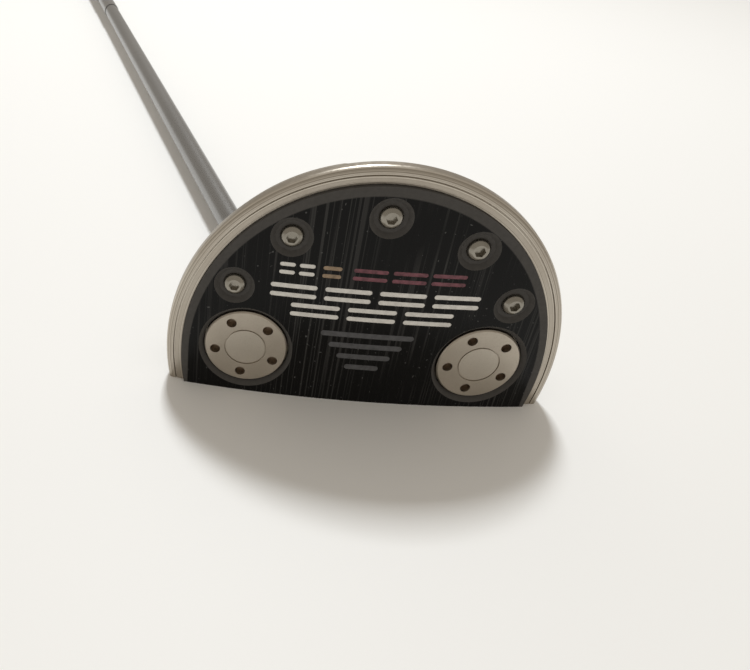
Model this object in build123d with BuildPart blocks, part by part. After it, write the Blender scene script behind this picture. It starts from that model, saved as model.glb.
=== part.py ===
from build123d import *
import math
import os

os.makedirs("parts", exist_ok=True)

# The putter lies face down: the striking face is the plane z = 0, x runs from heel to toe,
# the sole looks along -y and the shaft runs towards +y.

# Head outline, a half ellipse seen square to the sole
HEAD_HALF_WIDTH = 52.3
HEAD_DEPTH = 67.4
OUTLINE_CENTRE = 10.4
OUTLINE_RISE = HEAD_DEPTH - OUTLINE_CENTRE
CAMBER_RADIUS = 360.0
REACH = 200.0

# Steel body
LAND_DEPTH = 1.1
RIM_HEIGHT = 4.4
RIM_ROUND = 1.3
RIM_BACK_ROUND = 1.6
OUTLINE_REACH = 9.0
GROOVE_INSET = 1.9
GROOVE_WIDTH = 0.35
GROOVE_DEPTH = 0.4
CROWN_TOP = 26.0
CROWN_INSET = 2.6
TOPLINE_RADIUS = 250.0
BUMPER_DEPTH = 17.0
WALL = 2.4
CAVITY_FRONT = 8.6

# Aluminium face-sole plate
PLATE_INSET = 4.2
BEVEL_WIDTH = 2.0
BEVEL_DEPTH = 1.0
PLATE_THICKNESS = 3.2
FACE_HALF = 44.0
FACE_THICKNESS = 4.5
FACE_LIP = 1.8
SEAM = 0.1
MEMBRANE = 0.4

# Sole screws, M3 button heads in shallow dishes
SCREW_PLACES = [(-35.0, 33.3), (-22.2, 48.3), (0.0, 55.3), (22.2, 48.3), (35.0, 33.3)]
DISH_RADIUS = 5.2
DISH_DEPTH = 1.1
DISH_SLOPE = 1.2
SCREW_HEAD_RADIUS = 2.9
SCREW_HEAD_HEIGHT = 1.55
SCREW_RADIUS = 1.5
SCREW_LENGTH = 10.0
HEX_ACROSS = 2.4
HEX_DEPTH = 1.1
BOSS_RADIUS = 4.3

# Exchangeable weights
WEIGHT_X = 31.0
WEIGHT_Z = 14.3
WEIGHT_RADIUS = 11.05
WEIGHT_SINK = 0.5
WEIGHT_FLANGE = 3.0
SPIGOT_RADIUS = 9.0
SPIGOT_LENGTH = 4.0
THREAD_CLEARANCE = 0.06
PORT_RADIUS = 11.4
PORT_CHAMFER = 1.3
WASHER_THICKNESS = 0.6
WASHER_INNER = 9.35
PIN_CIRCLE = 8.2
PIN_RADIUS = 1.35
PIN_DEPTH = 2.4
HEEL_TURN = 29.7
TOE_TURN = 25.0
RING_RADIUS = 5.6
RING_WIDTH = 0.35
RING_DEPTH = 0.3
PORT_WALL = 12.8
PORT_BOSS_HEIGHT = 11.5

# Shaft: straight into the crown, double bend, then stepped up to the butt
BORE_X = -27.0
BORE_Z = 18.0
BORE_BOTTOM = 11.4
TIP_RADIUS = 4.5
TUBE_WALL = 0.65
EPOXY_GAP = 0.15
EPOXY_LENGTH = 10.0
LOWER_BEND_Y = 44.0
UPPER_BEND_Y = 78.0
UPPER_BEND_Z = 8.0
UPPER_BEND_SHIFT = 9.0
BEND_RADIUS = 45.0
LIE = 72.0
CLUB_LENGTH = 864.0
BUTT_Z = 14.2
TIP_PLUG_LENGTH = 10.0
STEP_START = 330.0
STEP_LENGTH = 45.0
STEP_COUNT = 7
STEP_RISE = 0.35

# Grip
GRIP_LENGTH = 267.0
TAPE = 0.25
GRIP_MOUTH = 10.0
GRIP_BUTT = 13.6
GRIP_FLAT = 0.8
CAP_LENGTH = 5.0
VENT_RADIUS = 1.5

# Sight line on the crown
SIGHT_HALF_WIDTH = 0.9
SIGHT_DEPTH = 0.5
SIGHT_FRONT = 17.0
SIGHT_BACK = 57.0

# Paint-filled marks cut in the sole
MARK_DEPTH = 0.3
MARK_SINK = 0.06


def camber(x):
    """Height of the sole surface above its lowest line, x from the middle."""
    return CAMBER_RADIUS - math.sqrt(CAMBER_RADIUS**2 - x**2)


def sole_plane(x, z, depth=0.0):
    """Plane tangent to the sole at (x, z), sunk by depth, its normal pointing out of the sole."""
    lean = math.asin(x / CAMBER_RADIUS)
    outward = Vector(math.sin(lean), -math.cos(lean), 0)
    along = Vector(math.cos(lean), math.sin(lean), 0)
    return Plane(Vector(x, camber(x), z) - outward * depth, x_dir=along, z_dir=outward)


def outline(inset, front=0.0):
    """Head outline drawn in the open sketch, moved inwards by inset and cut off at z = front."""
    with Locations((0, OUTLINE_CENTRE)):
        Ellipse(HEAD_HALF_WIDTH - inset, OUTLINE_RISE - inset)
    with Locations((0, front)):
        Rectangle(REACH, REACH, align=(Align.CENTER, Align.MAX), mode=Mode.SUBTRACT)


def inside_camber(depth):
    """Keep what lies deeper than depth below the cambered sole surface."""
    with BuildSketch(Plane.XY.offset(-10)) as disc:
        with Locations((0, CAMBER_RADIUS)):
            Circle(CAMBER_RADIUS - depth)
    extrude(disc.sketch, amount=REACH, mode=Mode.INTERSECT)


def outside_camber(depth):
    """Keep what lies within depth of the cambered sole surface."""
    with BuildSketch(Plane.XY.offset(-10)) as disc:
        with Locations((0, CAMBER_RADIUS)):
            Circle(CAMBER_RADIUS - depth)
    extrude(disc.sketch, amount=REACH, mode=Mode.SUBTRACT)


def crown_shape(wall):
    """Crown block above the rim, its outside moved inwards by wall."""
    top = CROWN_TOP - wall
    with BuildPart() as shape:
        with BuildSketch(Plane.XZ.offset(-top)):
            outline(CROWN_INSET + wall)
        extrude(amount=top - LAND_DEPTH - 4)
        with BuildSketch(Plane.YZ):
            with BuildLine():
                Polyline((LAND_DEPTH, 0), (top, 0), (top, BUMPER_DEPTH - wall))
                Spline((top, BUMPER_DEPTH - wall), (top - 9, BUMPER_DEPTH + 12 - wall),
                       tangents=((0, 1), (-0.16, 1)))
                Line((top - 9, BUMPER_DEPTH + 12 - wall), (top - 15, HEAD_DEPTH - 4))
                Polyline((top - 15, HEAD_DEPTH - 4), (LAND_DEPTH, HEAD_DEPTH), (LAND_DEPTH, 0))
            make_face()
        extrude(amount=REACH / 2, both=True, mode=Mode.INTERSECT)
        with BuildSketch(Plane.XY):
            with Locations((0, top - TOPLINE_RADIUS)):
                Circle(TOPLINE_RADIUS)
        extrude(amount=REACH, mode=Mode.INTERSECT)
    return shape.part


def screw_pocket(radius, top, bottom):
    """Bore round each screw's axis, from depth top to depth bottom below the sole."""
    for x, z in SCREW_PLACES:
        with BuildSketch(sole_plane(x, z, bottom)) as mouth:
            Circle(radius)
        extrude(mouth.sketch, amount=bottom - top, mode=Mode.SUBTRACT)


def port_pocket(radius, top, bottom):
    """Bore round each weight's axis, from depth top to depth bottom below the sole."""
    for side in (-1, 1):
        with BuildSketch(sole_plane(side * WEIGHT_X, WEIGHT_Z, bottom)) as mouth:
            Circle(radius)
        extrude(mouth.sketch, amount=bottom - top, mode=Mode.SUBTRACT)


def mark_columns(marks):
    """Columns standing on each (x, z, width, height) mark drawn square to the sole."""
    with BuildPart() as columns:
        with BuildSketch(Plane.XZ.offset(-OUTLINE_REACH)):
            for x, z, width, height in marks:
                with Locations((x, z)):
                    SlotOverall(width, height)
        extrude(amount=OUTLINE_REACH + 1)
    return columns.part


def mark_layer(marks, low, high):
    """The part of the mark columns between two depths below the sole."""
    with BuildPart() as layer:
        add(mark_columns(marks))
        inside_camber(low)
        outside_camber(high)
    return layer.part


def row_of_marks(count, start, end, z, height, fill=0.62):
    """Evenly spaced bars from x = start to x = end."""
    pitch = (end - start) / count
    return [(start + pitch * (i + 0.5), z, pitch * fill, height) for i in range(count)]


# Generic marks: bars where the sole carries paint
WHITE_MARKS = [mark for z in (35.0, 32.4) for mark in row_of_marks(4, -27.0, 27.0, z, 1.3, 0.86)]
WHITE_MARKS += [mark for z in (29.6, 27.0) for mark in row_of_marks(3, -21.5, 21.5, z, 1.3, 0.86)]
WHITE_MARKS += [mark for z in (41.0, 38.8) for mark in row_of_marks(2, -24.8, -15.2, z, 1.1, 0.8)]
GOLD_MARKS = [(-11.5, z, 4.6, 1.1) for z in (41.0, 38.8)]
RED_MARKS = [mark for z in (41.0, 38.8) for mark in row_of_marks(3, -7.0, 21.8, z, 1.1, 0.88)]
GREY_MARKS = [(0, 22.0 - 3.4 * i, 24.0 - 5.0 * i, 1.6) for i in range(4)]


# Face-sole plate: cambered sole, bevelled edge, and the striking face in one piece
with BuildPart() as face_sole_plate:
    with BuildSketch(Plane.XZ.offset(-OUTLINE_REACH)):
        outline(PLATE_INSET)
    extrude(amount=OUTLINE_REACH + 1)
    inside_camber(0)
    outside_camber(PLATE_THICKNESS)
    sole_faces = face_sole_plate.faces().filter_by(GeomType.CYLINDER).sort_by(SortBy.AREA)
    rim_edges = sole_faces[-1].edges().filter_by(GeomType.LINE, reverse=True).filter_by(
        lambda e: e.center().Z > 1.0)
    chamfer(rim_edges, BEVEL_WIDTH, BEVEL_DEPTH, reference=sole_faces[-1])
    with BuildSketch(Plane.XY):
        with Locations((0, 1.0)):
            Rectangle(2 * FACE_HALF, CROWN_TOP, align=(Align.CENTER, Align.MIN))
        with Locations((0, CROWN_TOP - FACE_LIP - TOPLINE_RADIUS)):
            Circle(TOPLINE_RADIUS, mode=Mode.INTERSECT)
        with Locations((0, CAMBER_RADIUS)):
            Circle(CAMBER_RADIUS - BEVEL_DEPTH, mode=Mode.INTERSECT)
    extrude(amount=FACE_THICKNESS)
    for x, z in SCREW_PLACES:
        with BuildSketch(sole_plane(x, z, DISH_DEPTH)):
            Circle(DISH_RADIUS - DISH_SLOPE)
        with BuildSketch(sole_plane(x, z, -0.1)):
            Circle(DISH_RADIUS + 0.1)
        loft(mode=Mode.SUBTRACT)
    screw_pocket(SCREW_RADIUS + 0.1, 0, PLATE_THICKNESS + 1)
    port_pocket(PORT_RADIUS, -1, PLATE_THICKNESS + 1)
    for side in (-1, 1):
        with BuildSketch(sole_plane(side * WEIGHT_X, WEIGHT_Z, PORT_CHAMFER)):
            Circle(PORT_RADIUS)
        with BuildSketch(sole_plane(side * WEIGHT_X, WEIGHT_Z, -0.1)):
            Circle(PORT_RADIUS + PORT_CHAMFER + 0.1)
        loft(mode=Mode.SUBTRACT)
    for marks in (WHITE_MARKS, GOLD_MARKS, RED_MARKS, GREY_MARKS):
        add(mark_layer(marks, -1.0, MARK_DEPTH), mode=Mode.SUBTRACT)
face_sole_plate.part.label = "face_sole_plate"

# Paint fills, one node for each colour
paints = {}
for name, marks in (("white_paint_fill", WHITE_MARKS), ("gold_paint_fill", GOLD_MARKS),
                    ("red_paint_fill", RED_MARKS), ("grey_paint_fill", GREY_MARKS)):
    paints[name] = mark_layer(marks, MARK_SINK, MARK_DEPTH)
    paints[name].label = name

# Damping membrane between the plate and the body
with BuildPart() as damping_membrane:
    with BuildSketch(Plane.XZ.offset(-OUTLINE_REACH)):
        outline(PLATE_INSET + 0.5, FACE_THICKNESS)
    extrude(amount=OUTLINE_REACH)
    inside_camber(PLATE_THICKNESS)
    outside_camber(PLATE_THICKNESS + MEMBRANE)
    with BuildSketch(Plane.XY.offset(FACE_THICKNESS)):
        with Locations((0, 0)):
            Rectangle(2 * FACE_HALF - 1, CROWN_TOP, align=(Align.CENTER, Align.MIN))
        with Locations((0, CROWN_TOP - FACE_LIP - 0.5 - TOPLINE_RADIUS)):
            Circle(TOPLINE_RADIUS, mode=Mode.INTERSECT)
        with Locations((0, CAMBER_RADIUS)):
            Circle(CAMBER_RADIUS - PLATE_THICKNESS, mode=Mode.INTERSECT)
    extrude(amount=MEMBRANE)
    screw_pocket(SCREW_RADIUS + 0.5, 0, PLATE_THICKNESS + 2)
    port_pocket(PORT_RADIUS + 0.6, 0, PLATE_THICKNESS + 2)
damping_membrane.part.label = "damping_membrane"

# Hollow inside the body, less the bosses that stand in it
with BuildPart() as cavity:
    add(crown_shape(WALL))
    with BuildSketch(Plane.XZ):
        outline(CROWN_INSET + WALL + 3.0, CAVITY_FRONT)
    extrude(amount=-CROWN_TOP, mode=Mode.INTERSECT)
    inside_camber(PLATE_THICKNESS)
    screw_pocket(BOSS_RADIUS, 0, CROWN_TOP)
    port_pocket(PORT_WALL, 0, PORT_BOSS_HEIGHT)
    with BuildSketch(Plane.XZ.offset(-CROWN_TOP)):
        with Locations((BORE_X, BORE_Z)):
            Circle(TIP_RADIUS + 2.6)
    extrude(amount=CROWN_TOP, mode=Mode.SUBTRACT)

# Crown groove for the sight line
with BuildPart() as sight_groove:
    add(crown_shape(0))
    with BuildSketch(Plane.XZ):
        with Locations((0, (SIGHT_FRONT + SIGHT_BACK) / 2)):
            Rectangle(2 * SIGHT_HALF_WIDTH, SIGHT_BACK - SIGHT_FRONT)
    extrude(amount=-CROWN_TOP - 1, mode=Mode.INTERSECT)
    add(crown_shape(SIGHT_DEPTH), mode=Mode.SUBTRACT)

with BuildPart() as sight_line:
    add(sight_groove.part)
    add(crown_shape(0.1), mode=Mode.INTERSECT)
sight_line.part.label = "sight_line"

# Pocket in the body that takes the plate and the membrane
with BuildPart() as plate_pocket:
    with BuildSketch(Plane.XZ.offset(-OUTLINE_REACH)):
        outline(PLATE_INSET - SEAM, -1.0)
    extrude(amount=OUTLINE_REACH + 1)
    outside_camber(PLATE_THICKNESS + MEMBRANE)

# Fine groove round the land
with BuildPart() as land_groove:
    with BuildSketch(Plane.XZ.offset(-OUTLINE_REACH)):
        outline(GROOVE_INSET)
        with Locations((0, OUTLINE_CENTRE)):
            Ellipse(HEAD_HALF_WIDTH - GROOVE_INSET - GROOVE_WIDTH,
                    OUTLINE_RISE - GROOVE_INSET - GROOVE_WIDTH, mode=Mode.SUBTRACT)
    extrude(amount=OUTLINE_REACH)
    outside_camber(LAND_DEPTH + GROOVE_DEPTH)

# Steel body: rim with its land and rounded edge, crown, pockets and bores
with BuildPart() as head_body:
    with BuildSketch(Plane.XZ.offset(-OUTLINE_REACH - 2)):
        outline(0)
    extrude(amount=OUTLINE_REACH + 3)
    inside_camber(LAND_DEPTH)
    outside_camber(LAND_DEPTH + RIM_HEIGHT)
    cambered = head_body.faces().filter_by(GeomType.CYLINDER).sort_by(SortBy.AREA)[-2:].sort_by(Axis.Y)
    fillet(cambered[0].edges().filter_by(lambda e: e.center().Z > 1.0), RIM_ROUND)
    cambered = head_body.faces().filter_by(GeomType.CYLINDER).sort_by(SortBy.AREA)[-2:].sort_by(Axis.Y)
    fillet(cambered[-1].edges().filter_by(lambda e: e.center().Z > 1.0), RIM_BACK_ROUND)
    add(land_groove.part, mode=Mode.SUBTRACT)
    add(crown_shape(0))
    add(sight_groove.part, mode=Mode.SUBTRACT)
    add(plate_pocket.part, mode=Mode.SUBTRACT)
    with BuildSketch(Plane.XY):
        with Locations((0, 1.0)):
            Rectangle(2 * (FACE_HALF + SEAM), CROWN_TOP, align=(Align.CENTER, Align.MIN))
        with Locations((0, CROWN_TOP - FACE_LIP + SEAM - TOPLINE_RADIUS)):
            Circle(TOPLINE_RADIUS, mode=Mode.INTERSECT)
    extrude(amount=FACE_THICKNESS + MEMBRANE, mode=Mode.SUBTRACT)
    add(cavity.part, mode=Mode.SUBTRACT)
    port_pocket(PORT_RADIUS, 0, WEIGHT_SINK + WEIGHT_FLANGE + WASHER_THICKNESS)
    port_pocket(SPIGOT_RADIUS + THREAD_CLEARANCE, 0, WEIGHT_SINK + WEIGHT_FLANGE + SPIGOT_LENGTH + 0.8)
    screw_pocket(SCREW_RADIUS, 0, DISH_DEPTH + SCREW_LENGTH + 0.5)
    with BuildSketch(Plane.XZ.offset(-BORE_BOTTOM)):
        with Locations((BORE_X, BORE_Z)):
            Circle(TIP_RADIUS + EPOXY_GAP)
    extrude(amount=-CROWN_TOP, mode=Mode.SUBTRACT)
head_body.part.label = "head_body"

# One button-head screw, then the set of five
with BuildPart() as one_screw:
    with BuildSketch(Plane.XZ):
        with BuildLine():
            Line((0, 0), (SCREW_HEAD_RADIUS, 0))
            Line((SCREW_HEAD_RADIUS, 0), (SCREW_HEAD_RADIUS, 0.25))
            ThreePointArc((SCREW_HEAD_RADIUS, 0.25), (2.45, 1.1), (1.75, SCREW_HEAD_HEIGHT))
            Polyline((1.75, SCREW_HEAD_HEIGHT), (0, SCREW_HEAD_HEIGHT), (0, 0))
        make_face()
    revolve(axis=Axis.Z)
    with BuildSketch(Plane.XY.offset(SCREW_HEAD_HEIGHT)):
        RegularPolygon(HEX_ACROSS / 2, 6, major_radius=False)
    extrude(amount=-HEX_DEPTH, mode=Mode.SUBTRACT)
    with BuildSketch(Plane.XY):
        Circle(SCREW_RADIUS)
    extrude(amount=-SCREW_LENGTH)
    chamfer(one_screw.faces().sort_by(Axis.Z)[0].edges(), 0.4)

with BuildPart() as sole_screws:
    for x, z in SCREW_PLACES:
        add(sole_plane(x, z, DISH_DEPTH).location * one_screw.part)
sole_screws.part.label = "sole_screws"

# Weight with its pin-spanner holes, ring groove and spigot, on a plane at its outer face
with BuildPart() as one_weight:
    with BuildSketch(Plane.XY):
        Circle(WEIGHT_RADIUS)
    extrude(amount=-WEIGHT_FLANGE)
    chamfer(one_weight.edges(), 0.35)
    with BuildSketch(Plane.XY.offset(-WEIGHT_FLANGE)):
        Circle(SPIGOT_RADIUS)
    extrude(amount=-SPIGOT_LENGTH)
    with BuildSketch(Plane.XY):
        with PolarLocations(PIN_CIRCLE, 5, start_angle=90):
            Circle(PIN_RADIUS)
    extrude(amount=-PIN_DEPTH, mode=Mode.SUBTRACT)
    with BuildSketch(Plane.XY):
        Circle(RING_RADIUS)
        Circle(RING_RADIUS - RING_WIDTH, mode=Mode.SUBTRACT)
    extrude(amount=-RING_DEPTH, mode=Mode.SUBTRACT)

# Sealing washer under a weight's flange
with BuildPart() as one_washer:
    with BuildSketch(Plane.XY.offset(-WEIGHT_FLANGE)):
        Circle(WEIGHT_RADIUS - 0.3)
        Circle(WASHER_INNER, mode=Mode.SUBTRACT)
    extrude(amount=-WASHER_THICKNESS)

weights = {}
for side, end in ((-1, "heel"), (1, "toe")):
    seat = sole_plane(side * WEIGHT_X, WEIGHT_Z, WEIGHT_SINK).location
    turned = seat * Rotation(0, 0, HEEL_TURN if side < 0 else TOE_TURN)
    weights[end + "_weight"] = turned * one_weight.part
    weights[end + "_weight_washer"] = seat * one_washer.part
for name, piece in weights.items():
    piece.label = name

# Shaft centre line
lean = math.radians(LIE)
rise_to_bend = Vector(BORE_X, LOWER_BEND_Y, BORE_Z)
upper_bend = Vector(BORE_X - UPPER_BEND_SHIFT, UPPER_BEND_Y, UPPER_BEND_Z)
straight_length = CLUB_LENGTH - UPPER_BEND_Y
butt = upper_bend + Vector(-math.cos(lean), math.sin(lean), 0) * straight_length
butt = Vector(butt.X, butt.Y, BUTT_Z)
shaft_dir = (butt - upper_bend).normalized()
bend_end = upper_bend + shaft_dir * 60


def along_shaft(distance):
    """Plane square to the straight part of the shaft, this far above the upper bend."""
    thumb = Vector(math.sin(lean), math.cos(lean), 0)
    across = (thumb - shaft_dir * thumb.dot(shaft_dir)).normalized()
    return Plane(upper_bend + shaft_dir * distance, x_dir=across, z_dir=shaft_dir)


with BuildPart() as shaft:
    with BuildLine():
        FilletPolyline((BORE_X, BORE_BOTTOM, BORE_Z), rise_to_bend, upper_bend, bend_end,
                       radius=BEND_RADIUS)
    with BuildSketch(Plane((BORE_X, BORE_BOTTOM, BORE_Z), x_dir=(1, 0, 0), z_dir=(0, 1, 0))):
        Circle(TIP_RADIUS)
        Circle(TIP_RADIUS - TUBE_WALL, mode=Mode.SUBTRACT)
    sweep()
    for step in range(STEP_COUNT + 1):
        start = 60 if step == 0 else STEP_START + STEP_LENGTH * (step - 1)
        end = straight_length if step == STEP_COUNT else STEP_START + STEP_LENGTH * step
        radius = TIP_RADIUS + STEP_RISE * step
        with BuildSketch(along_shaft(start)):
            Circle(radius)
            Circle(radius - TUBE_WALL, mode=Mode.SUBTRACT)
        extrude(amount=end - start)
shaft.part.label = "shaft"

butt_radius = TIP_RADIUS + STEP_RISE * STEP_COUNT

# Adhesive sleeve round the tip
with BuildPart() as shaft_epoxy:
    with BuildSketch(Plane.XZ.offset(-BORE_BOTTOM)):
        with Locations((BORE_X, BORE_Z)):
            Circle(TIP_RADIUS + EPOXY_GAP)
            Circle(TIP_RADIUS, mode=Mode.SUBTRACT)
    extrude(amount=-EPOXY_LENGTH)
shaft_epoxy.part.label = "shaft_epoxy"

# Stopper inside the tip
with BuildPart() as tip_plug:
    with BuildSketch(Plane.XZ.offset(-BORE_BOTTOM)):
        with Locations((BORE_X, BORE_Z)):
            Circle(TIP_RADIUS - TUBE_WALL)
    extrude(amount=-TIP_PLUG_LENGTH)
tip_plug.part.label = "tip_plug"

# Double-sided tape under the grip
grip_start = straight_length - GRIP_LENGTH + CAP_LENGTH
with BuildPart() as grip_tape:
    with BuildSketch(along_shaft(grip_start + 6)):
        Circle(butt_radius + TAPE)
        Circle(butt_radius, mode=Mode.SUBTRACT)
    extrude(amount=straight_length - grip_start - 6)
grip_tape.part.label = "grip_tape"


def grip_section(half_width):
    """Pistol grip section: round below, flat on the thumb side (local +x)."""
    Circle(half_width)
    with Locations((half_width * GRIP_FLAT, 0)):
        Rectangle(half_width, 3 * half_width, align=(Align.MIN, Align.CENTER), mode=Mode.SUBTRACT)


with BuildPart() as grip:
    for share, half_width in ((0.0, GRIP_MOUTH), (0.45, GRIP_MOUTH + 0.8), (0.8, GRIP_BUTT - 0.7),
                              (1.0, GRIP_BUTT)):
        with BuildSketch(along_shaft(grip_start + share * (GRIP_LENGTH - CAP_LENGTH))):
            grip_section(half_width)
    loft()
    with BuildSketch(along_shaft(grip_start - 1)):
        Circle(butt_radius + TAPE)
    extrude(amount=straight_length - grip_start + 1, mode=Mode.SUBTRACT)
grip.part.label = "grip"

with BuildPart() as grip_cap:
    with BuildSketch(along_shaft(straight_length)):
        grip_section(GRIP_BUTT)
    extrude(amount=CAP_LENGTH)
    fillet(grip_cap.faces().sort_by(Axis.Y)[-1].edges(), 2.0)
    with BuildSketch(along_shaft(straight_length - 1)):
        Circle(VENT_RADIUS)
    extrude(amount=CAP_LENGTH + 3, mode=Mode.SUBTRACT)
grip_cap.part.label = "grip_cap"

pieces = [face_sole_plate.part, damping_membrane.part, sight_line.part, head_body.part,
          sole_screws.part, shaft.part, shaft_epoxy.part, tip_plug.part, grip_tape.part,
          grip.part, grip_cap.part]
pieces += list(paints.values()) + list(weights.values())
for piece in pieces:
    export_step(piece, f"parts/{piece.label}.step")
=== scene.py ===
import bpy
import math
from mathutils import Matrix, Quaternion, Vector


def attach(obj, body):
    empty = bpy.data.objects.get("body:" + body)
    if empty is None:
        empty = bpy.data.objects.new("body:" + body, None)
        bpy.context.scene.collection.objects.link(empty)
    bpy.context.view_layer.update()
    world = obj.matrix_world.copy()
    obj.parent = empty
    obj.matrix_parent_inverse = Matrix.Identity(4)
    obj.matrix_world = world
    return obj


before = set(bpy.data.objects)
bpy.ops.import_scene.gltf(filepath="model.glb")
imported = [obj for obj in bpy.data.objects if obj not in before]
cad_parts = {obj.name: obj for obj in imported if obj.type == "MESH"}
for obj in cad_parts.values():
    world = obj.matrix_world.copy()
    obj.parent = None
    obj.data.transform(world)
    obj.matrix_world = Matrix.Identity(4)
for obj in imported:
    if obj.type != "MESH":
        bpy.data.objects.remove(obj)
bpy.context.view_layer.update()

MM = 0.001
HEAD_HALF_WIDTH = 52.3 * MM
OUTLINE_CENTRE = 10.4 * MM
OUTLINE_RISE = 57.0 * MM
CAMBER_RADIUS = 360 * MM
SCREW_PLACES = [(-35.0, 33.3), (-22.2, 48.3), (0.0, 55.3), (22.2, 48.3), (35.0, 33.3)]
DISH_RADIUS = 5.15 * MM
PLATE_REACH = 0.925
BAND_SHARE = 0.045
WEIGHT_X = 31.0 * MM
WEIGHT_Z = 14.3 * MM
MILL_PITCH = 1.1 * MM
MILL_CENTRE_LOW = -70 * MM
MILL_CENTRE_HIGH = 95 * MM
LIE = math.radians(72.0)
UPPER_BEND = Vector((-36.0, 78.0, 8.0)) * MM
STRAIGHT_LENGTH = 786 * MM
BUTT_HEIGHT = 14.2 * MM
GRIP_START = 524 * MM
GRIP_END = 781 * MM
STUD_ROWS = 74
STUDS_ROUND = 26
STUD_RADIUS = 0.95 * MM
STUD_HEIGHT = 0.45 * MM
STUD_SINK = 0.12 * MM
RAY_REACH = 20 * MM
STUD_MARGIN = 9 * MM
CAMERA_PLACE = Vector((-33.84, -151.45, 128.07)) * MM
CAMERA_DOWN = math.radians(36.08)
CAMERA_TURN = math.radians(-0.23)
CAMERA_ROLL = math.radians(4.19)
TABLE_HALF = 3.0


def camber(x):
    """Height of the sole surface above its lowest line."""
    return CAMBER_RADIUS - math.sqrt(CAMBER_RADIUS ** 2 - x ** 2)


# ---------------------------------------------------------------- node helpers

class Nodes:
    """A material's node tree, with short calls for the nodes used here."""

    def __init__(self, name):
        self.material = bpy.data.materials.new(name)
        self.material.use_nodes = True
        self.tree = self.material.node_tree
        self.shader = self.tree.nodes["Principled BSDF"]
        self.place = self.add("ShaderNodeTexCoord").outputs["Object"]

    def add(self, kind, **settings):
        node = self.tree.nodes.new(kind)
        for key, value in settings.items():
            setattr(node, key, value)
        return node

    def feed(self, socket, value):
        if isinstance(value, bpy.types.NodeSocket):
            self.tree.links.new(value, socket)
        else:
            socket.default_value = value

    def math(self, operation, first, second=0.0, third=0.0):
        node = self.add("ShaderNodeMath", operation=operation)
        for socket, value in zip(node.inputs, (first, second, third)):
            self.feed(socket, value)
        return node.outputs[0]

    def vector(self, operation, first, second=(0, 0, 0)):
        node = self.add("ShaderNodeVectorMath", operation=operation)
        self.feed(node.inputs[0], first)
        self.feed(node.inputs[1], second)
        return node.outputs["Value" if operation in ("LENGTH", "DISTANCE") else "Vector"]

    def noise(self, scale, detail=2.0, place=None):
        """Noise on object coordinates, scale in cells per metre along each axis."""
        stretched = self.vector("MULTIPLY", place or self.place, scale)
        node = self.add("ShaderNodeTexNoise")
        self.feed(node.inputs["Vector"], stretched)
        self.feed(node.inputs["Scale"], 1.0)
        self.feed(node.inputs["Detail"], detail)
        return node.outputs["Fac"]

    def ramp(self, value, low, high, out_low=0.0, out_high=1.0):
        node = self.add("ShaderNodeMapRange", clamp=True)
        for socket, item in zip(node.inputs, (value, low, high, out_low, out_high)):
            self.feed(socket, item)
        return node.outputs[0]

    def mix(self, share, first, second):
        node = self.add("ShaderNodeMix", data_type="RGBA")
        self.feed(node.inputs["Factor"], share)
        self.feed(node.inputs["A"], first)
        self.feed(node.inputs["B"], second)
        return node.outputs["Result"]

    def bump(self, height, distance, under=None):
        node = self.add("ShaderNodeBump")
        self.feed(node.inputs["Height"], height)
        node.inputs["Distance"].default_value = distance
        if under is not None:
            self.feed(node.inputs["Normal"], under)
        return node.outputs["Normal"]

    def finish(self, color, roughness, normal=None, metallic=0.0, **others):
        self.feed(self.shader.inputs["Base Color"], color)
        self.feed(self.shader.inputs["Roughness"], roughness)
        self.feed(self.shader.inputs["Metallic"], metallic)
        for key, value in others.items():
            self.shader.inputs[key.replace("_", " ")].default_value = value
        if normal is not None:
            self.feed(self.shader.inputs["Normal"], normal)
        return self.material


def grey(value, warm=0.0):
    return (value * (1 + warm), value, value * (1 - warm), 1)


# ---------------------------------------------------------------- materials

def milled_arcs(n):
    """Two crossing families of cutter arcs on the striking face."""
    cuts = []
    for centre_y in (MILL_CENTRE_LOW, MILL_CENTRE_HIGH):
        away = n.vector("DISTANCE", n.vector("MULTIPLY", n.place, (1, 1, 0)), (0, centre_y, 0))
        wave = n.math("SINE", n.math("MULTIPLY", away, 2 * math.pi / MILL_PITCH))
        cuts.append(n.ramp(wave, -1.0, 1.0))
    return n.math("MINIMUM", cuts[0], cuts[1])


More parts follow.
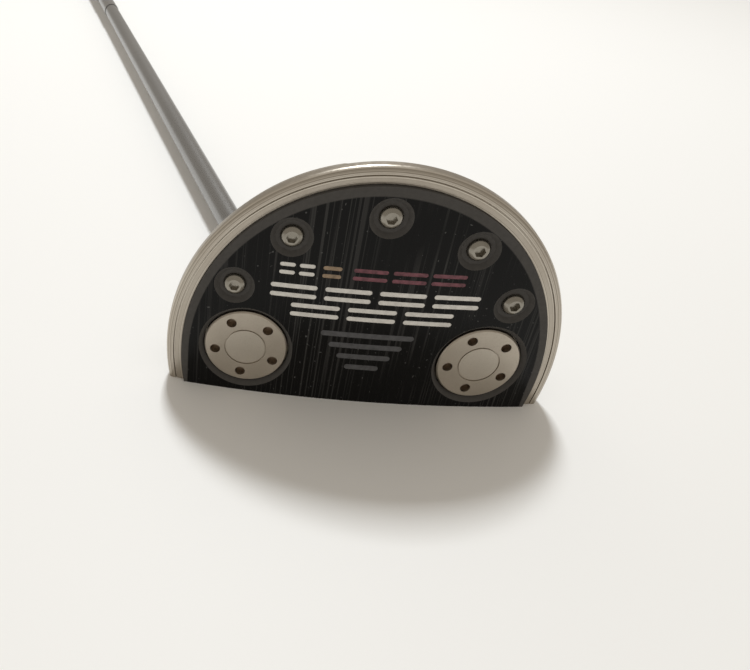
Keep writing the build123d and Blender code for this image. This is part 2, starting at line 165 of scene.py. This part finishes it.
def black_anodised():
    """Glossy black with fine lines from face to back; bevels and dishes are matte grey."""
    n = Nodes("black_anodised")
    axes = n.add("ShaderNodeSeparateXYZ")
    n.feed(axes.inputs[0], n.place)
    flat = n.add("ShaderNodeCombineXYZ")
    n.feed(flat.inputs["X"], axes.outputs["X"])
    n.feed(flat.inputs["Z"], axes.outputs["Z"])
    nearest = 1.0
    for x, z in SCREW_PLACES:
        away = n.vector("DISTANCE", flat.outputs[0], (x * MM, 0, z * MM))
        nearest = n.math("MINIMUM", nearest, away)
    dish = n.ramp(nearest, DISH_RADIUS, DISH_RADIUS - 0.15 * MM)
    normal = n.add("ShaderNodeSeparateXYZ")
    n.feed(normal.inputs[0], n.add("ShaderNodeNewGeometry").outputs["Normal"])
    tilt = n.math("ABSOLUTE", normal.outputs["Y"])
    bevel = n.ramp(tilt, 0.985, 0.975)
    past = n.math("MAXIMUM", n.math("SUBTRACT", axes.outputs["Z"], OUTLINE_CENTRE), 0.0)
    across = n.math("DIVIDE", axes.outputs["X"], HEAD_HALF_WIDTH)
    rise = n.math("DIVIDE", past, OUTLINE_RISE)
    squares = n.math("ADD", n.math("MULTIPLY", across, across), n.math("MULTIPLY", rise, rise))
    reach = n.math("SQRT", squares)
    border = n.ramp(reach, PLATE_REACH - BAND_SHARE, PLATE_REACH - BAND_SHARE + 0.006)
    matte = n.math("MAXIMUM", dish, n.math("MAXIMUM", bevel, border))

    lines = n.noise((1500, 0, 9), 2.0)
    patches = n.noise((42, 0, 30), 2.0)
    heel_side = n.ramp(n.math("ABSOLUTE", n.math("ADD", axes.outputs["X"], 14 * MM)), 16 * MM, 6 * MM)
    strong = n.math("MAXIMUM", n.ramp(patches, 0.42, 0.62), heel_side)
    bright_lines = n.math("MULTIPLY", n.ramp(lines, 0.52, 0.62), strong)
    specks = n.ramp(n.noise((1500, 1500, 1500), 0.0), 0.80, 0.84)
    glossy = n.mix(n.math("MULTIPLY", bright_lines, 0.8), grey(0.002, 0.05), grey(0.04, 0.03))
    glossy = n.mix(n.math("MULTIPLY", specks, 0.6), glossy, grey(0.12))
    grain = n.noise((900, 900, 900), 4.0)
    dull = n.mix(grain, grey(0.055, 0.06), grey(0.080, 0.06))
    color = n.mix(matte, glossy, dull)
    shine = n.ramp(lines, 0.3, 0.7, 0.20, 0.32)
    roughness = n.math("ADD", n.math("MULTIPLY", matte, 0.3), shine)
    fine = n.math("MULTIPLY", lines, n.math("SUBTRACT", 1.0, matte))
    relief = n.bump(fine, 0.02 * MM)
    relief = n.bump(n.math("MULTIPLY", grain, matte), 0.02 * MM, relief)
    cut = n.math("MULTIPLY", milled_arcs(n), n.ramp(normal.outputs["Z"], -0.9, -0.98))
    relief = n.bump(cut, 0.10 * MM, relief)
    return n.finish(color, roughness, relief, Specular_IOR_Level=0.15)


def satin_steel():
    """Warm steel with fine lines that follow the head's outline, strongest near the rim."""
    n = Nodes("satin_steel")
    centred = n.vector("SUBTRACT", n.place, (0, 0, OUTLINE_CENTRE))
    scaled = n.vector("MULTIPLY", centred, (1 / HEAD_HALF_WIDTH, 0, 1 / OUTLINE_RISE))
    ring = n.math("MULTIPLY", n.vector("LENGTH", scaled), OUTLINE_RISE)
    along = n.add("ShaderNodeCombineXYZ")
    n.feed(along.inputs["X"], ring)
    coarse = n.noise((3200, 0, 0), 2.0, along.outputs[0])
    fine = n.noise((9000, 0, 0), 2.0, along.outputs[0])
    cloud = n.noise((60, 60, 60), 3.0)
    grain = n.noise((1400, 1400, 1400), 3.0)
    near_rim = n.ramp(ring, 46 * MM, 50 * MM, 0.25, 1.0)
    lines = n.math("MULTIPLY", n.math("SUBTRACT", coarse, 0.5), near_rim)
    color = n.mix(n.ramp(lines, -0.2, 0.2), (0.17, 0.14, 0.105, 1), (0.72, 0.67, 0.59, 1))
    color = n.mix(n.ramp(cloud, 0.35, 0.7, 0.0, 0.45), color, (0.40, 0.35, 0.29, 1))
    roughness = n.math("ADD", n.ramp(grain, 0.3, 0.7, 0.24, 0.34), n.math("MULTIPLY", cloud, 0.12))
    relief = n.bump(lines, 0.02 * MM)
    relief = n.bump(n.math("MULTIPLY", fine, near_rim), 0.008 * MM, relief)
    relief = n.bump(grain, 0.006 * MM, relief)
    return n.finish(color, roughness, relief, metallic=1.0)


def weight_steel(name, x):
    """Bead-blasted disc, smoother inside its ring, with painted shade in its pin holes and other sunk
    parts.
    """
    n = Nodes(name)
    centre = (x, camber(x), WEIGHT_Z)
    flat = n.vector("MULTIPLY", n.vector("SUBTRACT", n.place, centre), (1, 0, 1))
    away = n.vector("LENGTH", flat)
    lean = math.asin(x / CAMBER_RADIUS)
    inward = Vector((-math.sin(lean), math.cos(lean), 0))
    sunk = n.add("ShaderNodeVectorMath", operation="DOT_PRODUCT")
    n.feed(sunk.inputs[0], n.vector("SUBTRACT", n.place, centre))
    sunk.inputs[1].default_value = inward
    # painted shade: from 0.62 mm below the disc's face, fully by 1.5 mm, the colour turns darker and
    # warmer
    painted_shade_depth = n.ramp(sunk.outputs["Value"], 0.62 * MM, 1.5 * MM)
    blast = n.noise((2600, 2600, 2600), 2.0)
    cloud = n.noise((120, 120, 120), 3.0)
    turned = n.add("ShaderNodeCombineXYZ")
    n.feed(turned.inputs["X"], away)
    rings = n.noise((5200, 0, 0), 2.0, turned.outputs[0])
    boss = n.ramp(away, 5.3 * MM, 5.1 * MM)
    color = n.mix(cloud, (0.38, 0.34, 0.285, 1), (0.53, 0.48, 0.41, 1))
    color = n.mix(n.math("MULTIPLY", boss, 0.4), color, (0.62, 0.58, 0.51, 1))
    color = n.mix(n.ramp(blast, 0.62, 0.75, 0.0, 0.25), color, (0.36, 0.32, 0.27, 1))
    # mix in the painted shade of the pin holes and sunk parts
    color = n.mix(painted_shade_depth, color, (0.36, 0.30, 0.24, 1))
    roughness = n.ramp(blast, 0.3, 0.7, 0.34, 0.5)
    relief = n.bump(blast, 0.015 * MM)
    relief = n.bump(rings, 0.012 * MM, relief)
    return n.finish(color, roughness, relief, metallic=1.0)


def bright_steel():
    """Plated screws with a faint grain."""
    n = Nodes("bright_steel")
    grain = n.noise((3200, 3200, 3200), 2.0)
    cloud = n.noise((200, 200, 200), 2.0)
    color = n.mix(cloud, (0.20, 0.185, 0.155, 1), (0.38, 0.355, 0.31, 1))
    roughness = n.ramp(grain, 0.3, 0.7, 0.16, 0.32)
    return n.finish(color, roughness, n.bump(grain, 0.003 * MM), metallic=1.0)


def satin_chrome():
    """Shaft: grey satin plating with faint cloudiness along its length."""
    n = Nodes("satin_chrome")
    cloud = n.noise((40, 6, 40), 2.0)
    grain = n.noise((2500, 2500, 2500), 2.0)
    color = n.mix(cloud, grey(0.24), grey(0.32, 0.01))
    roughness = n.ramp(grain, 0.3, 0.7, 0.24, 0.36)
    return n.finish(color, roughness, n.bump(grain, 0.008 * MM), metallic=1.0)


def paint(name, color, wear):
    """Enamel fill, a little uneven and worn."""
    n = Nodes(name)
    cloud = n.noise((700, 700, 700), 3.0)
    worn = tuple(c * wear for c in color[:3]) + (1,)
    shade = n.mix(n.ramp(cloud, 0.35, 0.75), color, worn)
    roughness = n.ramp(cloud, 0.3, 0.7, 0.30, 0.5)
    return n.finish(shade, roughness, n.bump(cloud, 0.03 * MM))


def rubber(name, value, cells):
    """Matte rubber with a fine moulded grain."""
    n = Nodes(name)
    grain = n.noise((cells, cells, cells), 4.0)
    cloud = n.noise((45, 45, 45), 3.0)
    color = n.mix(cloud, grey(value), grey(value * 1.7))
    roughness = n.ramp(grain, 0.3, 0.7, 0.52, 0.72)
    return n.finish(color, roughness, n.bump(grain, 0.06 * MM))


def plain_grain(name, low, high, cells, roughness, depth):
    """Two tones mixed by a grain, for the inner pieces."""
    n = Nodes(name)
    grain = n.noise((cells, cells, cells), 4.0)
    rough = n.ramp(grain, 0.3, 0.7, roughness - 0.08, roughness + 0.08)
    return n.finish(n.mix(grain, low, high), rough, n.bump(grain, depth))


def dress(node, material):
    """Give a CAD node its material."""
    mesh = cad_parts[node].data
    mesh.materials.clear()
    mesh.materials.append(material)


dress("face_sole_plate", black_anodised())
dress("head_body", satin_steel())
dress("sole_screws", bright_steel())
dress("heel_weight", weight_steel("heel_weight_steel", -WEIGHT_X))
dress("toe_weight", weight_steel("toe_weight_steel", WEIGHT_X))
dress("shaft", satin_chrome())
white_enamel = paint("white_enamel", (0.78, 0.76, 0.72, 1), 0.8)
dress("white_paint_fill", white_enamel)
dress("sight_line", white_enamel)
dress("gold_paint_fill", paint("gold_enamel", (0.34, 0.24, 0.15, 1), 0.5))
dress("red_paint_fill", paint("red_enamel", (0.20, 0.055, 0.075, 1), 0.4))
dress("grey_paint_fill", paint("grey_enamel", (0.085, 0.085, 0.09, 1), 0.6))
seal = rubber("seal_rubber", 0.02, 1800)
for node in ("heel_weight_washer", "toe_weight_washer", "damping_membrane"):
    dress(node, seal)
grip_rubber = rubber("grip_rubber", 0.022, 900)
dress("grip", grip_rubber)
dress("grip_cap", rubber("cap_rubber", 0.03, 1200))
epoxy = plain_grain("epoxy", (0.35, 0.28, 0.16, 1), (0.5, 0.42, 0.28, 1), 800, 0.3, 0.01 * MM)
dress("shaft_epoxy", epoxy)
cork = plain_grain("cork", (0.30, 0.19, 0.10, 1), (0.52, 0.37, 0.22, 1), 1100, 0.8, 0.1 * MM)
dress("tip_plug", cork)
paper = plain_grain("paper_tape", (0.60, 0.56, 0.46, 1), (0.72, 0.68, 0.60, 1), 1500, 0.7, 0.03 * MM)
dress("grip_tape", paper)

# ---------------------------------------------------------------- moulded studs on the grip

class Tree:
    """A geometry node tree, with short calls for the nodes used here."""

    def __init__(self, name, inputs):
        self.group = bpy.data.node_groups.new(name, "GeometryNodeTree")
        for label, kind in inputs.items():
            self.group.interface.new_socket(label, in_out="INPUT", socket_type=kind)
        self.group.interface.new_socket("Geometry", in_out="OUTPUT", socket_type="NodeSocketGeometry")
        self.inputs = self.add("NodeGroupInput").outputs

    def add(self, kind, **settings):
        node = self.group.nodes.new(kind)
        for key, value in settings.items():
            setattr(node, key, value)
        return node

    def feed(self, socket, value):
        if isinstance(value, bpy.types.NodeSocket):
            self.group.links.new(value, socket)
        else:
            socket.default_value = value

    def call(self, kind, feeds, **settings):
        """Add a node, feed its sockets by name and return its outputs."""
        node = self.add(kind, **settings)
        for label, value in feeds.items():
            self.feed(node.inputs[label], value)
        return node.outputs

    def math(self, operation, first, second=0.0):
        return self.call("ShaderNodeMath", {0: first, 1: second}, operation=operation)[0]

    def vector(self, operation, first, second=(0, 0, 0)):
        return self.call("ShaderNodeVectorMath", {0: first, 1: second}, operation=operation)[0]

    def scale(self, first, amount):
        return self.call("ShaderNodeVectorMath", {0: first, "Scale": amount}, operation="SCALE")[0]

    def finish(self, geometry):
        self.feed(self.add("NodeGroupOutput").inputs["Geometry"], geometry)
        return self.group


def stud_tree():
    """Rows of studs wrapped round a host: rays from outside find the surface each one stands on."""
    t = Tree("studs_round_a_grip", {
        "Host": "NodeSocketObject", "Rows": "NodeSocketInt", "Round": "NodeSocketInt",
        "Start": "NodeSocketVector", "Run": "NodeSocketVector", "Side": "NodeSocketVector",
        "Cross": "NodeSocketVector", "Reach": "NodeSocketFloat", "Radius": "NodeSocketFloat",
        "Height": "NodeSocketFloat", "Sink": "NodeSocketFloat", "Material": "NodeSocketMaterial"})
    host = t.call("GeometryNodeObjectInfo", {"Object": t.inputs["Host"]}, transform_space="ORIGINAL")
    grid = t.call("GeometryNodeMeshGrid", {
        "Size X": 1.0, "Size Y": 1.0, "Vertices X": t.inputs["Rows"], "Vertices Y": t.inputs["Round"]})
    place = t.call("ShaderNodeSeparateXYZ", {0: t.add("GeometryNodeInputPosition").outputs[0]})
    share = t.math("ADD", place["X"], 0.5)
    row = t.math("ROUND", t.math("MULTIPLY", share, t.math("SUBTRACT", t.inputs["Rows"], 1.0)))
    stagger = t.math("DIVIDE", t.math("MULTIPLY", t.math("MODULO", row, 2.0), 0.5), t.inputs["Round"])
    spread = t.math("DIVIDE", t.math("SUBTRACT", t.inputs["Round"], 1.0), t.inputs["Round"])
    turns = t.math("ADD", t.math("MULTIPLY", place["Y"], spread), stagger)
    angle = t.math("MULTIPLY", turns, 2 * math.pi)
    outward = t.vector("ADD", t.scale(t.inputs["Side"], t.math("COSINE", angle)),
                       t.scale(t.inputs["Cross"], t.math("SINE", angle)))
    middle = t.vector("ADD", t.inputs["Start"], t.scale(t.inputs["Run"], share))
    outside = t.vector("ADD", middle, t.scale(outward, t.inputs["Reach"]))
    ray = t.call("GeometryNodeRaycast", {
        "Target Geometry": host["Geometry"], "Source Position": outside,
        "Ray Direction": t.scale(outward, -1.0), "Ray Length": t.inputs["Reach"]})
    keep = t.add("GeometryNodeCaptureAttribute")
    keep.capture_items.new("VECTOR", "spot")
    keep.capture_items.new("VECTOR", "facing")
    t.feed(keep.inputs["Geometry"], grid["Mesh"])
    t.feed(keep.inputs["spot"], ray["Hit Position"])
    t.feed(keep.inputs["facing"], ray["Hit Normal"])
    root = t.vector("SUBTRACT", keep.outputs["spot"], t.scale(keep.outputs["facing"], t.inputs["Sink"]))
    points = t.call("GeometryNodeSetPosition", {"Geometry": keep.outputs["Geometry"], "Position": root})
    stud = t.call("GeometryNodeMeshCone", {
        "Vertices": 8, "Radius Top": t.math("MULTIPLY", t.inputs["Radius"], 0.55),
        "Radius Bottom": t.inputs["Radius"], "Depth": t.inputs["Height"]})
    upright = t.call("FunctionNodeAlignRotationToVector", {"Vector": keep.outputs["facing"]}, axis="Z")
    placed = t.call("GeometryNodeInstanceOnPoints", {
        "Points": points["Geometry"], "Instance": stud["Mesh"], "Rotation": upright[0]})
    real = t.call("GeometryNodeRealizeInstances", {"Geometry": placed["Instances"]})
    return t.finish(t.call("GeometryNodeSetMaterial", {
        "Geometry": real["Geometry"], "Material": t.inputs["Material"]})["Geometry"])


def grip_studs():
    """Staggered studs moulded over the grip's length."""
    butt = UPPER_BEND + Vector((-math.cos(LIE), math.sin(LIE), 0)) * STRAIGHT_LENGTH
    butt.z = BUTT_HEIGHT
    along = (butt - UPPER_BEND).normalized()
    thumb = Vector((math.sin(LIE), math.cos(LIE), 0))
    side = (thumb - along * thumb.dot(along)).normalized()
    sizes = {
        "Host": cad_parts["grip"], "Rows": STUD_ROWS, "Round": STUDS_ROUND,
        "Start": UPPER_BEND + along * (GRIP_START + STUD_MARGIN),
        "Run": along * (GRIP_END - GRIP_START - 2 * STUD_MARGIN), "Side": side, "Cross": along.cross(side),
        "Reach": RAY_REACH, "Radius": STUD_RADIUS, "Height": STUD_HEIGHT, "Sink": STUD_SINK,
        "Material": grip_rubber}
    maker = bpy.data.objects.new("stud_maker", bpy.data.meshes.new("stud_maker"))
    bpy.context.collection.objects.link(maker)
    modifier = maker.modifiers.new("studs", "NODES")
    modifier.node_group = stud_tree()
    for item in modifier.node_group.interface.items_tree:
        if item.in_out == "INPUT":
            modifier[item.identifier] = sizes[item.name]
    bpy.context.view_layer.update()
    evaluated = maker.evaluated_get(bpy.context.evaluated_depsgraph_get())
    mesh = bpy.data.meshes.new_from_object(evaluated)
    maker.modifiers.remove(modifier)
    bpy.data.objects.remove(maker)
    studs = bpy.data.objects.new("grip_studs", mesh)
    bpy.context.collection.objects.link(studs)
    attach(studs, "club")


grip_studs()

# ---------------------------------------------------------------- floor, light, camera

def floor():
    """Large pale tabletop under the club."""
    mesh = bpy.data.meshes.new("tabletop")
    half = TABLE_HALF
    corners = [(-half, -half, 0), (half, -half, 0), (half, half, 0), (-half, half, 0)]
    mesh.from_pydata(corners, [], [(0, 1, 2, 3)])
    table = bpy.data.objects.new("tabletop", mesh)
    bpy.context.collection.objects.link(table)
    n = Nodes("pale_table")
    cloud = n.noise((3, 3, 3), 2.0)
    color = n.mix(cloud, (0.88, 0.875, 0.86, 1), (0.90, 0.895, 0.88, 1))
    mesh.materials.append(n.finish(color, 0.6))


def area_light(name, place, aim, width, power, color=(1, 1, 1)):
    light = bpy.data.lights.new(name, "AREA")
    light.size = width
    light.energy = power
    light.color = color
    lamp = bpy.data.objects.new(name, light)
    bpy.context.collection.objects.link(lamp)
    lamp.location = place
    lamp.rotation_euler = (Vector(aim) - Vector(place)).to_track_quat("-Z", "Y").to_euler()


def camera():
    """Camera near the head, looking down on the sole."""
    lens = bpy.data.cameras.new("camera")
    lens.sensor_width = 36
    lens.lens = 34.56
    lens.clip_start = 0.01
    lens.shift_x = 0.190
    lens.shift_y = 0.0064
    eye = bpy.data.objects.new("camera", lens)
    bpy.context.collection.objects.link(eye)
    level = math.cos(CAMERA_DOWN)
    look = Vector((math.sin(CAMERA_TURN) * level, math.cos(CAMERA_TURN) * level, -math.sin(CAMERA_DOWN)))
    aim = Quaternion(look, -CAMERA_ROLL) @ look.to_track_quat("-Z", "Y")
    eye.matrix_world = Matrix.Translation(CAMERA_PLACE) @ aim.to_matrix().to_4x4()
    bpy.context.scene.camera = eye


bpy.context.scene.view_settings.view_transform = "Standard"
floor()
area_light("key", (-0.07, 0.74, 1.22), (0, 0, 0), 0.20, 13.0, (0.94, 0.975, 1.0))
world = bpy.data.worlds.new("studio")
world.use_nodes = True
world.node_tree.nodes["Background"].inputs["Color"].default_value = (1.0, 0.925, 0.82, 1)
world.node_tree.nodes["Background"].inputs["Strength"].default_value = 0.50
bpy.context.scene.world = world
camera()
